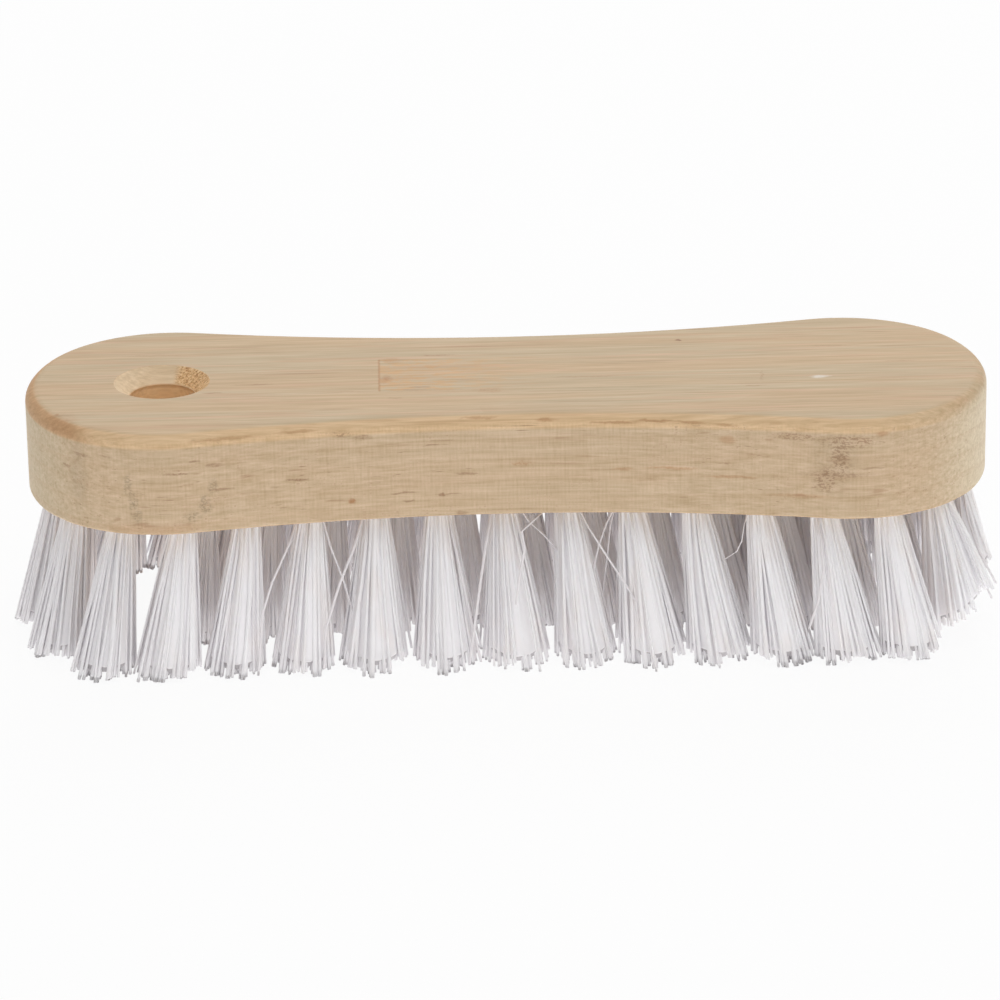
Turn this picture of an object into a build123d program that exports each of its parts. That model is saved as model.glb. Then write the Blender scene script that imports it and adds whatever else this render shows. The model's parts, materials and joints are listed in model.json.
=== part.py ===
"""Hand scrub brush: a waisted hardwood block with a countersunk hanging hole, set with
tufts of stiff bristle that are folded over flat wire staples in blind holes.

Frame: origin on the floor under the middle of the brush, +X along the block, away from
the hanging hole, +Z up. The brush stands on its trimmed bristle tips.
"""

import os
from math import asin, atan2, cos, degrees, radians, sin, tan, tanh

from build123d import *

# Block
block_length = 190 * MM
block_width = 61.1 * MM
waist_depth = 6.9 * MM
block_thickness = 20.4 * MM
corner_offset = 3.65 * MM
end_easing = 8.4 * MM
top_edge_radius = 2.7 * MM
bottom_edge_radius = 0.6 * MM

# Hanging hole
hang_hole_radius = 6.5 * MM
hang_sink_radius = 9.5 * MM
hang_sink_angle = 90
hang_hole_from_end = 27 * MM

# Tuft holes
tuft_hole_radius = 2.75 * MM
tuft_hole_depth = 11.5 * MM
outer_row_inset = 6.5 * MM
inner_rows_apart = 9.3 * MM
outer_side_tufts = 16
inner_side_tufts = 12
outer_hang_gap = 14.3 * MM
outer_plain_gap = 4.6 * MM
inner_hang_gap = 23.6 * MM
inner_plain_gap = 6.7 * MM
centre_row_shares = (-0.566, 0.483, 0.6, 0.71)

# Bristle
bristle_reach = 30 * MM
strand_side = 1 * MM
ring_strands = 7
root_margin = 0.55 * MM
tip_ring_radius = 4.2 * MM
strand_embed = 2 * MM
root_stand = 0.8 * MM
root_clearance = 0.1 * MM
trim_cut = 0.5 * MM
tip_unevenness = 2.5 * MM
tip_spread = 0.5 * MM
tip_rise_left = 1.5 * MM
tip_rise_right = 3.5 * MM
length_shares = (0.0, 0.62, 0.12, 0.85, 0.3, 1.0, 0.05, 0.45)
spread_shares = (0.2, -0.8, 0.6, -0.1, 0.9, -0.5, 0.4, -1.0)

# Lean of the tufts, in degrees at the ends and the sides
lean_along = 9.5
lean_outer_row = 8
lean_inner_row = 3
upright_x = -20 * MM
lean_change_length = 40 * MM

# Staples, which hold the fold of each tuft
staple_thickness = 0.35 * MM
staple_height = 2 * MM
staple_bite = 0.6 * MM
staple_from_bottom = 2 * MM
staple_clearance = 0.05 * MM

overrun = 1 * MM

block_bottom = bristle_reach
block_top = block_bottom + block_thickness
half_length = block_length / 2
half_width = block_width / 2
half_waist = half_width - waist_depth
inner_row_inset = half_waist - inner_rows_apart / 2
hang_hole_x = hang_hole_from_end - half_length
tuft_root_radius = tuft_hole_radius - root_clearance
root_ring_radius = tuft_root_radius - strand_side / 2 - root_margin
staple_length = 2 * (tuft_hole_radius + staple_bite)
staple_middle = tuft_hole_depth - staple_from_bottom - staple_height / 2

os.makedirs("parts", exist_ok=True)


# The outline is one end arc, two corner arcs and a hollow waist arc a side, all tangent
corner_radius = half_width - corner_offset
end_radius = corner_radius + end_easing
corner_turn = asin(corner_offset / end_easing)
end_centre_x = half_length - end_radius
corner_centre_x = end_centre_x + end_easing * cos(corner_turn)
waist_rise = half_waist - corner_offset
waist_radius = (corner_centre_x**2 + waist_rise**2 - corner_radius**2) / (2 * waist_depth)
waist_centre_y = half_waist + waist_radius
waist_turn = atan2(corner_centre_x, waist_centre_y - corner_offset)


def outline_arcs(inset):
    """Arcs of the outline moved inwards by inset, anticlockwise from the right-hand end."""
    end, corner, waist = degrees(corner_turn), 90 + degrees(waist_turn), degrees(waist_turn)
    x, y = corner_centre_x, corner_offset
    end_r, corner_r, waist_r = end_radius - inset, corner_radius - inset, waist_radius + inset
    return [
        CenterArc((end_centre_x, 0), end_r, 0, end),
        CenterArc((x, y), corner_r, end, corner - end),
        CenterArc((0, waist_centre_y), waist_r, 270 + waist, -2 * waist),
        CenterArc((-x, y), corner_r, 180 - corner, corner - end),
        CenterArc((-end_centre_x, 0), end_r, 180 - end, 2 * end),
        CenterArc((-x, -y), corner_r, 180 + end, corner - end),
        CenterArc((0, -waist_centre_y), waist_r, 90 + waist, -2 * waist),
        CenterArc((x, -y), corner_r, 360 - corner, corner - end),
        CenterArc((end_centre_x, 0), end_r, -end, end),
    ]


def along(arcs, distance):
    """Point and outward normal at a distance along the arcs."""
    for arc in arcs:
        if distance <= arc.length:
            break
        distance -= arc.length
    share = min(distance / arc.length, 1)
    tangent = arc % share
    return arc @ share, Vector(tangent.Y, -tangent.X)


def row_planes(arcs, plain_gap, hang_gap, side_tufts, end_tufts, lean_across):
    """Planes of a row's tufts, alike on both sides, anticlockwise from the right-hand end.

    The gaps are left along the row between its middle at each end and the nearest tuft."""
    half_row = sum(arc.length for arc in arcs) / 2
    pitch = (half_row - plain_gap - hang_gap) / (side_tufts - 1)
    far_side = [plain_gap + pitch * index for index in range(side_tufts)]
    near_side = [2 * half_row - distance for distance in reversed(far_side)]
    planes = []
    for distance in far_side + [half_row] * end_tufts + near_side:
        point, normal = along(arcs, distance)
        planes.append(tuft_plane(point, normal, lean_across))
    return planes


def tuft_plane(root, normal, lean_across):
    """Plane of a tuft's mouth, with +Z up its tilted hole into the wood."""
    slope_x = tan(radians(lean_along)) * tanh((root.X - upright_x) / lean_change_length)
    slope_y = tan(radians(lean_across)) * normal.Y
    up = Vector(-slope_x, -slope_y, 1).normalized()
    side = Vector(0, 1, 0).cross(up).normalized()
    return Plane(origin=(root.X, root.Y, block_bottom), x_dir=side, z_dir=up)


def at_height(plane, height):
    """Point of a tuft's axis at a height above the floor."""
    up = plane.z_dir
    return plane.origin + up * ((height - plane.origin.Z) / up.Z)


def tip_rise(x):
    """How far the tips stop above the floor, which grows towards the ends."""
    rise = tip_rise_left if x < 0 else tip_rise_right
    return rise * (x / half_length) ** 4


def strand(start, end, height, turn):
    """Four-sided strand from start towards end, cut off level at a height."""
    with BuildSketch(Plane.XY.offset(start.Z)) as section:
        with Locations((start.X, start.Y)):
            Rectangle(strand_side, strand_side, rotation=turn)
    way = end - start
    reach = way.length * (start.Z - height) / (start.Z - end.Z)
    return extrude(section.sketch, amount=reach, dir=way)


def tuft_strands(plane, order):
    """The strands of one tuft: one in the middle and a ring that flares to the tips."""
    start_height = block_bottom + strand_embed
    start_middle = at_height(plane, start_height)
    strands = []
    for place in range(ring_strands + 1):
        pick = (place + order) % len(length_shares)
        tip_height = tip_unevenness * length_shares[pick] - trim_cut
        tip_height += tip_rise(plane.origin.X)
        tip_middle = at_height(plane, tip_height)
        turn = 360 * place / ring_strands
        root_ring, tip_ring = root_ring_radius, tip_ring_radius + tip_spread * spread_shares[pick]
        if place == ring_strands:
            root_ring, tip_ring = 0, tip_spread
        out = Vector(cos(radians(turn)), sin(radians(turn)))
        start = start_middle + out * root_ring
        end = tip_middle + out * tip_ring
        strands.append(strand(start, end, max(tip_height, 0), turn))
    return strands


def make_tuft(plane, order):
    """One tuft: the bundle in its hole, with the staple's slot, and the strands below."""
    strands = tuft_strands(plane, order)
    bundle_height = tuft_hole_depth - root_clearance + root_stand
    with BuildPart() as tuft:
        with Locations(plane.offset(-root_stand)):
            Cylinder(tuft_root_radius, bundle_height, align=(Align.CENTER, Align.CENTER, Align.MIN))
        with Locations(plane.offset(staple_middle)):
            Box(
                staple_length,
                staple_thickness + 2 * staple_clearance,
                staple_height + 2 * staple_clearance,
                mode=Mode.SUBTRACT,
            )
        add(strands)
    return tuft.part


# Places of the tufts: the outer row has one in the middle of the hanging end, and the inner
# row stops each side of the hanging hole
outer_planes = row_planes(
    outline_arcs(outer_row_inset), outer_plain_gap, outer_hang_gap, outer_side_tufts, 1, lean_outer_row
)
inner_planes = row_planes(
    outline_arcs(inner_row_inset), inner_plain_gap, inner_hang_gap, inner_side_tufts, 0, lean_inner_row
)

# The centre row fills the two wide ends of the block
centre_planes = []
for share in centre_row_shares:
    centre_planes.append(tuft_plane(Vector(half_length * share, 0), Vector(0, 0), 0))

tuft_planes = outer_planes + inner_planes + centre_planes


# Block
with BuildPart() as block:
    with BuildSketch(Plane.XY.offset(block_bottom)):
        with BuildLine():
            add(outline_arcs(0))
        make_face()
    extrude(amount=block_thickness)
    fillet(block.faces().sort_by(Axis.Z)[-1].edges(), top_edge_radius)
    fillet(block.faces().sort_by(Axis.Z)[0].edges(), bottom_edge_radius)
    with Locations((hang_hole_x, 0, block_top)):
        CounterSinkHole(hang_hole_radius, hang_sink_radius, counter_sink_angle=hang_sink_angle)
    with Locations(*[plane.offset(-overrun) for plane in tuft_planes]):
        Cylinder(
            tuft_hole_radius,
            tuft_hole_depth + overrun,
            align=(Align.CENTER, Align.CENTER, Align.MIN),
            mode=Mode.SUBTRACT,
        )
    with Locations(*[plane.offset(staple_middle) for plane in tuft_planes]):
        Box(
            staple_length + 2 * staple_clearance,
            staple_thickness + 2 * staple_clearance,
            staple_height + 2 * staple_clearance,
            mode=Mode.SUBTRACT,
        )

block.part.label = "block"
export_step(block.part, "parts/block.step")


# Staples, one in each tuft
with BuildPart() as staples:
    with Locations(*[plane.offset(staple_middle) for plane in tuft_planes]):
        Box(staple_length, staple_thickness, staple_height)

staples.part.label = "staples"
export_step(staples.part, "parts/staples.step")


# Tufts of the outer and the inner row, each its own piece
for row, planes in (("outer", outer_planes), ("inner", inner_planes)):
    for index, plane in enumerate(planes):
        tuft = make_tuft(plane, index)
        tuft.label = f"tuft_{row}_{index + 1:02d}"
        export_step(tuft, f"parts/{tuft.label}.step")

# Tufts of the centre row, a group of separate solids
centre = [make_tuft(plane, index) for index, plane in enumerate(centre_planes)]
with BuildPart() as tufts_centre:
    add(centre)

tufts_centre.part.label = "tufts_centre"
export_step(tufts_centre.part, "parts/tufts_centre.step")
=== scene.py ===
import json
import math
import random

import bmesh
import bpy
from mathutils import Matrix, Vector


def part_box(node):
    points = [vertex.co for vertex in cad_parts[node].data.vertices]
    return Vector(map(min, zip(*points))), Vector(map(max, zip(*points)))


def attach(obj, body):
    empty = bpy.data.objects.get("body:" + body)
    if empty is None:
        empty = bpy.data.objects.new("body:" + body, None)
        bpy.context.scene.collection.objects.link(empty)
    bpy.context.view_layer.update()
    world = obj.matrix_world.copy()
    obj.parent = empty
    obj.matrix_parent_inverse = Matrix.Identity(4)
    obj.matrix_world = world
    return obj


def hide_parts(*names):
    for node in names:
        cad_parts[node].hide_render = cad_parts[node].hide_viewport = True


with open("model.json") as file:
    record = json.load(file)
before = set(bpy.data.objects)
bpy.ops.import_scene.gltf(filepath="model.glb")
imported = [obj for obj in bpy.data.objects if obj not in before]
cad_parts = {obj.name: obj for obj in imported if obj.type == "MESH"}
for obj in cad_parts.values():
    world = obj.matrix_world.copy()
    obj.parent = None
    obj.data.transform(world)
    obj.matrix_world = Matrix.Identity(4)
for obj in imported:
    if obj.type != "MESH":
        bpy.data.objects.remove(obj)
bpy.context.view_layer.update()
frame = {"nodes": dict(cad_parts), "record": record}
nodes = frame["nodes"]
mm = 0.001
blockLow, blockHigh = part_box("block")
hangingHole = next(mount for mount in frame["record"]["mounts"] if mount["name"] == "hanging_hole")
print("frame loaded:", len(nodes), "nodes")


# camera, worked out from the outline of the block
cameraSet = {
    "place": (-0.0217, -0.9655, 0.4104),
    "target": (-0.0016, 0.0, 0.0236),
    "lens": 187.7,
    "sensor": 36.0,
    "roll": -0.88,
}


def placeCamera(settings):
    bpy.ops.object.camera_add(location=settings["place"])
    camera = bpy.context.object
    look = Vector(settings["target"]) - Vector(settings["place"])
    turn = Matrix.Rotation(math.radians(settings["roll"]), 3, "Z")
    camera.rotation_euler = (look.to_track_quat("-Z", "Y").to_matrix() @ turn).to_euler()
    camera.data.lens = settings["lens"]
    camera.data.sensor_width = settings["sensor"]
    camera.data.clip_start = 0.01
    bpy.context.scene.camera = camera


placeCamera(cameraSet)
bpy.context.scene.view_settings.view_transform = "Standard"
bpy.context.scene.cycles.diffuse_bounces = 12  # light has to find its way in between the strands
bpy.context.scene.cycles.max_bounces = 16
print("camera placed")


# small helpers for node trees
def paint(red, green, blue):
    # screen colour, 0 to 255, as the linear colour a shader wants
    def linear(v):
        v = v / 255
        return v / 12.92 if v <= 0.04045 else ((v + 0.055) / 1.055) ** 2.4
    return (linear(red), linear(green), linear(blue), 1.0)


def addNode(tree, kind, x, y, inputs=None, **settings):
    node = tree.nodes.new(kind)
    node.location = (x, y)
    for name, value in settings.items():
        setattr(node, name, value)
    for name, value in (inputs or {}).items():
        plug(tree, value, node.inputs[name])
    return node


def plug(tree, value, socket):
    # a socket is linked, anything else is set
    if isinstance(value, bpy.types.NodeSocket):
        tree.links.new(value, socket)
    else:
        socket.default_value = value


def maths(tree, operation, x, y, first, second=None, third=None, clamp=False):
    node = addNode(tree, "ShaderNodeMath", x, y, operation=operation, use_clamp=clamp)
    for place, value in enumerate((first, second, third)):
        if value is not None:
            plug(tree, value, node.inputs[place])
    return node.outputs[0]


def times(tree, x, y, first, second):
    return maths(tree, "MULTIPLY", x, y, first, second)


def vectorMaths(tree, operation, x, y, first, second=None):
    node = addNode(tree, "ShaderNodeVectorMath", x, y, operation=operation)
    plug(tree, first, node.inputs[0])
    if second is not None:
        plug(tree, second, node.inputs[1])
    return node.outputs["Value" if operation in ("LENGTH", "DOT_PRODUCT") else "Vector"]


def mixColour(tree, x, y, factor, first, second, blend="MIX"):
    node = addNode(tree, "ShaderNodeMix", x, y, data_type="RGBA", blend_type=blend)
    plug(tree, factor, node.inputs[0])
    plug(tree, first, node.inputs[6])
    plug(tree, second, node.inputs[7])
    return node.outputs[2]


def tinted(tree, x, y, colour, mask, level, other):
    # the colour moved by a level towards another one where the mask is
    return mixColour(tree, x, y, times(tree, x - 120, y - 150, mask, level), colour, other)


def stretched(tree, x, y, place, scale, detail, roughness=0.5, offset=(0, 0, 0)):
    # noise that is drawn out along the axes with a small scale
    mapping = addNode(tree, "ShaderNodeMapping", x, y, {
        "Vector": place, "Scale": scale, "Location": offset})
    noise = addNode(tree, "ShaderNodeTexNoise", x + 180, y, {
        "Vector": mapping.outputs[0], "Scale": 1.0, "Detail": detail, "Roughness": roughness})
    return noise.outputs["Fac"]


def window(tree, x, y, value, low, high):
    # 0 at low, 1 at high, smooth between, either way round
    node = addNode(tree, "ShaderNodeMapRange", x, y, interpolation_type="SMOOTHSTEP")
    plug(tree, value, node.inputs[0])
    plug(tree, low, node.inputs[1])
    plug(tree, high, node.inputs[2])
    return node.outputs[0]


def shade(tree, x, y, colour, level):
    # the colour made lighter or darker by a level around 1, and warmer where it is darker
    tint = addNode(tree, "ShaderNodeCombineColor", x, y - 150)
    for step, power in enumerate((0.9, 1.1, 1.5)):
        plug(tree, maths(tree, "POWER", x - 180, y - 150 * step, level, power), tint.inputs[step])
    return mixColour(tree, x + 180, y, 1.0, colour, tint.outputs[0], "MULTIPLY")


def newGroup(name, inputs, outputs):
    group = bpy.data.node_groups.new(name, "ShaderNodeTree")
    for label, kind in inputs:
        group.interface.new_socket(label, in_out="INPUT", socket_type=kind)
    for label in outputs:
        group.interface.new_socket(label, in_out="OUTPUT", socket_type="NodeSocketFloat")
    start = addNode(group, "NodeGroupInput", -1400, 0)
    end = addNode(group, "NodeGroupOutput", 900, 0)
    return group, start.outputs, end.inputs


def useGroup(tree, group, x, y, inputs):
    node = addNode(tree, "ShaderNodeGroup", x, y, node_tree=group)
    for name, value in inputs.items():
        plug(tree, value, node.inputs[name])
    return node.outputs


def newMaterial(name):
    # material with its shader, and the place on the piece in millimetres
    material = bpy.data.materials.new(name)
    material.use_nodes = True
    tree = material.node_tree
    shader = tree.nodes["Principled BSDF"]
    shader.location = (1200, 0)
    coords = addNode(tree, "ShaderNodeTexCoord", -2600, 0)
    scaled = addNode(tree, "ShaderNodeVectorMath", -2420, 0, operation="SCALE")
    plug(tree, coords.outputs["Object"], scaled.inputs[0])
    scaled.inputs["Scale"].default_value = 1 / mm
    return material, tree, shader, scaled.outputs[0]


vectorSocket = "NodeSocketVector"
floatSocket = "NodeSocketFloat"


# wood grain along X: noises per mm for fine lines, broad bands, thin dark lines and pores
grainSet = {
    "fine": {"scale": (0.05, 1.3, 1.5), "detail": 5, "roughness": 0.62},
    "broad": {"scale": (0.012, 0.13, 0.12), "detail": 3},
    "hue": {"scale": (0.03, 0.42, 0.3), "detail": 3, "roughness": 0.6, "offset": (7, 3, 1)},
    "line": {"scale": (0.035, 0.95, 1.0), "detail": 3, "offset": (2, 9, 4)},
    "pore": {"scale": (0.16, 2.4, 2.8), "detail": 2},
    "patch": {"scale": (0.03, 0.09, 0.12), "detail": 2, "offset": (5, 5, 5)},  # where pores crowd
}


def makeGrainGroup(settings):
    group, start, end = newGroup(
        "grain", [("Place", vectorSocket)], ["Fine", "Broad", "Hue", "Line", "Pore", "Ring"])
    noises = {}
    for step, (name, noise) in enumerate(settings.items()):
        noises[name] = stretched(group, -1100, 500 - 250 * step, start["Place"], **noise)
    pith = addNode(group, "ShaderNodeMapping", -1100, -1000, {
        "Vector": start["Place"], "Location": (0, 24, 46), "Rotation": (0, 0.02, 0.03)})
    ring = addNode(group, "ShaderNodeTexWave", -900, -1000, {
        "Vector": pith.outputs[0], "Scale": 0.075,
        "Distortion": 2.2, "Detail": 3.0, "Detail Scale": 0.35},
        wave_type="RINGS", rings_direction="X", wave_profile="SAW")
    pores = window(group, -600, -500, noises["pore"], 0.66, 0.74)
    found = {
        "Fine": noises["fine"],
        "Broad": noises["broad"],
        "Hue": noises["hue"],
        "Line": window(group, -600, -250, noises["line"], 0.63, 0.74),
        "Pore": times(group, -300, -500, pores, window(group, -600, -750, noises["patch"], 0.42, 0.6)),
        "Ring": ring.outputs["Fac"],
    }
    for name, value in found.items():
        group.links.new(value, end[name])
    return group


# one mark at a place: a soft oval that grit breaks up
def makeMarkGroup():
    group, start, end = newGroup(
        "mark",
        [("Place", vectorSocket), ("Middle", vectorSocket), ("Half", vectorSocket),
         ("Grit", floatSocket), ("Break Up", floatSocket), ("Level", floatSocket)],
        ["Mask"],
    )
    offset = vectorMaths(group, "SUBTRACT", -1000, 0, start["Place"], start["Middle"])
    share = vectorMaths(group, "DIVIDE", -800, 0, offset, start["Half"])
    oval = window(group, -400, 0, vectorMaths(group, "LENGTH", -600, 0, share), 1.15, 0.4)
    hollow = maths(group, "SUBTRACT", -600, -300, 1.0, start["Grit"])
    lost = times(group, -400, -300, hollow, start["Break Up"])
    kept = maths(group, "SUBTRACT", -200, -300, 1.0, lost)
    mask = times(group, 200, 0, times(group, 0, 0, oval, kept), start["Level"])
    group.links.new(mask, end["Mask"])
    return group


grainGroup = makeGrainGroup(grainSet)
markGroup = makeMarkGroup()


# marks on the block: middle, half size, strength, and how far grit breaks it up
markSet = {
    "line": (  # thin lines of the grain
        ((-49.6, -2.8, 50.4), (4.6, 0.35, 1), 0.75, 0.15),
        ((-57.8, -7.0, 50.4), (3.0, 0.35, 1), 0.85, 0.15),
        ((-13.5, 11.6, 50.4), (4.4, 0.35, 1), 0.85, 0.15),
        ((-17.0, -6.3, 50.4), (2.2, 0.35, 1), 0.8, 0.15),
        ((-22.0, -12.0, 50.4), (1.8, 0.35, 1), 0.6, 0.15),
        ((-16.5, -8.3, 50.4), (9.0, 0.3, 1), 0.4, 0.5),
        ((-31.0, -8.0, 50.4), (6.5, 0.35, 1), 0.45, 0.15),
        ((16.0, -2.5, 50.4), (9.0, 0.35, 1), 0.6, 0.4),
        ((48.5, -9.6, 50.4), (2.6, 0.35, 1), 0.6, 0.15),
        ((50.3, -4.0, 50.4), (0.35, 3.2, 1), 0.5, 0.5),
        ((78.0, 2.5, 50.4), (4.0, 0.4, 1), 0.5, 0.4),
        ((66.0, 12.0, 50.4), (6.0, 0.4, 1), 0.5, 0.4),
        ((-70.0, 15.0, 50.4), (8.0, 0.4, 1), 0.5, 0.4),
    ),
    "rust": (  # warm brown: near the joint, along the rounded edge, curved lines on the side
        ((-23.9, -1.5, 50.4), (1.3, 2.6, 1), 0.55, 0.4),
        ((-22.6, 9.0, 50.4), (2.2, 2.0, 1), 0.3, 0.4),
        ((-3.5, -8.8, 50.4), (3.6, 1.5, 1), 0.35, 0.6),
        ((-86.8, -20.0, 49.4), (4.2, 6.5, 1.8), 0.3, 0.35),
        ((-88.0, -17.0, 50.0), (0.6, 0.9, 1), 0.6, 0.15),
        ((7.2, -23.4, 49.3), (2.4, 3, 0.4), 0.6, 0.15),
        ((27.8, -24.5, 49.2), (5.0, 3, 0.28), 0.6, 0.15),
        ((35.0, -25.0, 49.0), (4.0, 3, 0.28), 0.5, 0.15),
        ((41.8, -25.6, 48.7), (2.8, 3, 0.35), 0.5, 0.15),
        ((20.0, -24.0, 48.9), (5.0, 3, 0.3), 0.55, 0.15),
        ((-6.0, -22.4, 49.9), (4.0, 3, 0.3), 0.5, 0.15),
        ((-55.0, -28.0, 48.9), (9.0, 4, 0.35), 0.4, 0.3),
        ((-41.0, -26.0, 49.2), (5.0, 4, 0.3), 0.45, 0.15),
        ((2.4, -23.7, 40.6), (2.4, 3, 0.9), 0.5, 0.7),
        ((41.9, -26.6, 45.7), (1.9, 3, 1.0), 0.4, 0.15),
        ((31.5, -25.4, 39.6), (6.5, 3, 0.35), 0.55, 0.3),
        ((43.0, -26.8, 38.0), (6.5, 3, 0.35), 0.5, 0.3),
        ((57.0, -28.5, 34.6), (8.0, 3, 0.6), 0.35, 0.3),
        ((22.0, -24.4, 39.3), (2.6, 3, 0.4), 0.45, 0.15),
        ((-31.0, -25.1, 34.2), (0.7, 3, 0.6), 0.8, 0.15),
        ((-70.0, -30.0, 31.2), (12.0, 4, 1.2), 0.3, 0.4),
        ((71.5, -30.2, 47.6), (1.7, 3, 0.6), 0.5, 0.15),
    ),
    "pore": (  # open pores and specks, dark brown
        ((35.2, 17.2, 50.4), (0.5, 0.8, 1), 0.8, 0.15),
        ((-83.0, -25.4, 45.2), (2.4, 3, 0.45), 0.4, 0.4),
        ((-86.0, -22.8, 42.2), (0.9, 3, 0.35), 0.45, 0.15),
        ((-78.4, -28.4, 45.8), (1.9, 3, 0.3), 0.3, 0.3),
        ((-64.2, -30.3, 42.6), (2.8, 3, 0.28), 0.62, 0.5),
        ((-61.0, -30.0, 45.0), (1.2, 3, 0.25), 0.5, 0.15),
        ((-57.0, -29.2, 43.8), (2.2, 3, 0.5), 0.48, 0.4),
        ((-56.0, -29.0, 38.7), (2.6, 3, 0.32), 0.5, 0.3),
        ((-41.6, -26.5, 39.4), (3.0, 3, 0.28), 0.62, 0.45),
        ((-45.5, -27.0, 38.2), (1.5, 3, 0.3), 0.3, 0.4),
        ((-20.6, -24.3, 35.3), (3.0, 3, 0.25), 0.5, 0.3),
        ((-20.0, -24.3, 33.6), (1.4, 3, 0.25), 0.45, 0.15),
        ((-11.6, -23.9, 34.7), (2.8, 3, 0.22), 0.4, 0.15),
        ((-13.4, -24.0, 34.7), (0.6, 3, 0.5), 0.7, 0.15),
        ((-8.4, -23.8, 38.9), (2.6, 3, 0.28), 0.55, 0.3),
        ((-32.6, -25.3, 48.2), (2.4, 3, 0.8), 0.5, 0.8),
        ((-28.6, -25.0, 47.3), (2.2, 3, 0.6), 0.5, 0.6),
        ((-9.4, -23.7, 30.6), (1.6, 3, 0.6), 0.5, 0.3),
        ((65.5, -30.0, 46.2), (6.5, 4, 1.7), 0.55, 0.85),
        ((63.6, -30.2, 42.5), (2.0, 4, 5.5), 0.55, 0.85),
        ((61.2, -29.9, 38.2), (2.6, 4, 3.0), 0.6, 0.85),
        ((55.5, -28.8, 46.8), (6.5, 4, 1.0), 0.45, 0.85),
        ((62.5, -29.8, 39.2), (8.5, 4, 0.8), 0.4, 0.6),
        ((70.0, -30.4, 40.6), (3.0, 3, 0.25), 0.35, 0.15),
    ),
    "bruise": (  # grey-brown dents left by handling
        ((-73.9, -29.7, 40.6), (1.0, 4, 2.6), 0.5, 0.7),
        ((-73.1, -29.8, 37.2), (1.1, 4, 2.4), 0.6, 0.7),
        ((-72.2, -30.0, 34.0), (1.2, 4, 1.9), 0.45, 0.7),
        ((-57.4, -29.1, 39.3), (1.0, 4, 2.0), 0.45, 0.7),
        ((-59.2, -29.4, 36.0), (1.4, 4, 2.2), 0.62, 0.7),
        ((-61.8, -29.8, 33.6), (2.0, 4, 1.2), 0.55, 0.7),
        ((62.5, -29.8, 41.5), (6.0, 4, 7.5), 0.2, 0.5),
        ((-83.5, -25.0, 41.0), (2.0, 4, 8.0), 0.25, 0.3),
    ),
    "scuff": (  # a pale rub on the top
        ((61.5, -5.4, 50.4), (2.3, 0.85, 1), 0.9, 0.15),
    ),
}


# bare wood: planed top, sawn sides, warm rounded edge, cut and torn grain in the hanging hole
woodSet = {
    "tan": paint(198, 171, 137),
    "grey": paint(193, 172, 141),
    "pink": paint(201, 168, 137),
    "amber": paint(223, 190, 148),
    "blotch": paint(206, 160, 110),
    "side": paint(202, 177, 146),
    "endGrain": paint(195, 176, 146),
    # painted light: the end grain drawn paler at the plain end, as lit from that side
    "paintedLightEnd": paint(213, 196, 167),
    "ringBrown": paint(186, 155, 120),
    "line": paint(170, 134, 104),
    "rust": paint(172, 122, 80),
    "pore": paint(132, 90, 60),
    "bruise": paint(140, 122, 96),
    "scuff": paint(226, 217, 205),
    "cut": paint(229, 205, 171),
    "bore": paint(238, 209, 167),
    "torn": paint(226, 186, 136),
    "tornDark": paint(158, 102, 56),
    "tornPale": paint(248, 222, 180),
    "sinkRadius": 9.5,
    "sinkDepth": 3.0,
    "edgeHeight": 2.7,
    "jointX": -25.1,
    "jointMiddleY": 0.8,
    "jointHalfWidth": 9.0,
    "jointReach": 38.0,
    "otherBoard": (57.0, 31.0),  # how far off the grain of the jointed middle is taken
    "seamHalfWidth": 0.22,
    "amberEndX": (100.0, 66.0),  # from where to where a tint sets in
    "warmEndX": (-79.0, -85.0),
    "paintedLightEndX": (60.0, 90.0),
    "tornWay": (0.91, 0.42, 0),
    "sawPitch": 0.72,
    "pinkLevel": 0.7,
    "sideLevel": 0.8,
    "ringLevel": 0.22,
    "lineLevel": 0.5,
    "blotchLevel": 0.6,
    "seamLevel": 0.5,
    "amberLevel": 0.85,
    "stripeLevel": 0.22,
    "warmEndLevel": 0.5,
    "poreTopLevel": 0.12,
    "poreSideLevel": 0.35,
    "tearLevel": 0.8,
    "lipLevel": 0.4,
    "waveLevel": 0.05,
    "crossLevel": 0.4,
    "sawLevel": 0.34,
    "fineLevel": 0.75,
    "dotLevel": 0.6,
    "roughness": 0.62,
    "relief": {"fine": 0.3, "saw": 0.8, "pore": -0.6, "mark": -0.6, "torn": 1.5},
}


def markLevel(tree, x, y, place, grit, marks):
    # the strongest of several marks
    level = None
    for step, (middle, half, strength, breakUp) in enumerate(marks):
        mask = useGroup(tree, markGroup, x, y - 60 * step, {
            "Place": place, "Middle": middle, "Half": half, "Grit": grit,
            "Break Up": breakUp, "Level": strength})["Mask"]
        level = mask if level is None else maths(tree, "MAXIMUM", x + 200, y - 60 * step, level, mask)
    return level


def lookAround(tree, place, settings):
    # place and lie of the surface: up is 1 on top, endOn 1 at the ends, upright 1 on all sides
    normal = addNode(tree, "ShaderNodeTexCoord", -2600, -500).outputs["Normal"]
    x, y, z = addNode(tree, "ShaderNodeSeparateXYZ", -2200, -300, {"Vector": place}).outputs
    face = addNode(tree, "ShaderNodeSeparateXYZ", -2200, -500, {"Vector": normal}).outputs
    endOn = maths(tree, "ABSOLUTE", -2000, -450, face[0])
    upright = window(tree, -1200, -500, face[2], 0.75, 0.2)
    # the board is joined up: past the joint its middle, the finger, is another board
    pastJoint = maths(tree, "GREATER_THAN", -2200, 500, x, settings["jointX"])
    aside = maths(tree, "SUBTRACT", -2200, 620, y, settings["jointMiddleY"])
    aside = maths(tree, "ABSOLUTE", -2000, 620, aside)
    middle = maths(tree, "LESS_THAN", -1850, 620, aside, settings["jointHalfWidth"])
    return {
        "place": place, "x": x, "y": y, "z": z, "up": face[2], "endOn": endOn, "upright": upright,
        "middle": middle, "finger": times(tree, -1700, 560, pastJoint, middle),
    }


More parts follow.
